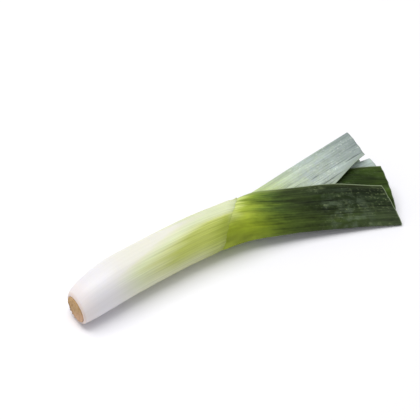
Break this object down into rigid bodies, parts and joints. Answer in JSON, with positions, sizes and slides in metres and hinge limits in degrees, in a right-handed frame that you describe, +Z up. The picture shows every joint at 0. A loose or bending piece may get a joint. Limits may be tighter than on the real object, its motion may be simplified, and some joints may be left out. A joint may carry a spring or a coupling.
{
  "type": "leek",
  "caption": "Trimmed leek lying on its side: root plate, white shaft and a fan of folded green leaves cut off short.",
  "frame": {"origin": "centre of the bounding box, on the surface it lies on", "axes": "+X from the root plate to the cut leaves, +Z up"},
  "size_m": [0.2994, 0.0958, 0.038],
  "materials": {
    "root_plate": "dry corky root plate",
    "shaft": "moist leaf sheath, white turning green",
    "heart": "young yellow-green leaves",
    "leaf_1": "dark green leaf with a waxy bloom",
    "leaf_2": "grey-green waxy leaf back",
    "leaf_3": "dark green leaf with a waxy bloom",
    "leaf_4": "grey-green waxy leaf back"
  },
  "bodies": {
    "root": {"root_plate": "root_plate", "shaft": "shaft", "heart": "heart", "leaf_1": "leaf_1", "leaf_2": "leaf_2", "leaf_3": "leaf_3", "leaf_4": "leaf_4"}
  },
  "joints": []
}
